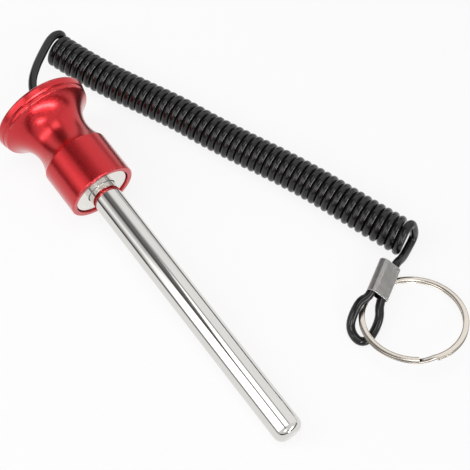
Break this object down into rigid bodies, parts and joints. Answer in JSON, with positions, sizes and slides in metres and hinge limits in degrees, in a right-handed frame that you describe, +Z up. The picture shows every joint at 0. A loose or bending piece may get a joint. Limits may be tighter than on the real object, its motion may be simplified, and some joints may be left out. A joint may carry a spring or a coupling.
{
  "type": "weight stack pin",
  "caption": "Magnetic selector pin for a weight stack: a plain round shaft in a flared, waisted knob, tied by a coiled cord to a crimped loop and a split ring.",
  "frame": {"origin": "on the bench that the part lies on, below the middle of the knob and pin", "axes": "+X from the knob to the pin's tip, seen from above; +Z up; the coiled cord and the split ring lie on the +Y side"},
  "size_m": [0.1812, 0.0958, 0.0339],
  "materials": {
    "knob": "glossy red anodised",
    "pin": "bright chrome plate",
    "magnet": "bright nickel plate",
    "stop": "plain crimped",
    "cord": "glossy black jacket",
    "ferrule": "satin",
    "ring": "bright nickel plate"
  },
  "bodies": {
    "pin_and_cord": {"knob": "knob", "pin": "pin", "ring_magnet": "magnet", "cord_stop": "stop", "cord_lead": "cord", "cord_coil": "cord", "cord_tail": "cord", "cord_loop": "cord", "ferrule": "ferrule"},
    "ring": {"split_ring": "ring"}
  },
  "joints": [
    {"name": "ring_turn", "type": "hinge", "parent": "pin_and_cord", "child": "ring", "pos_m": [0.06339, 0.05531, 0.00549], "axis": [-0.2236, 0.137, 0.965], "continuous": true}
  ]
}
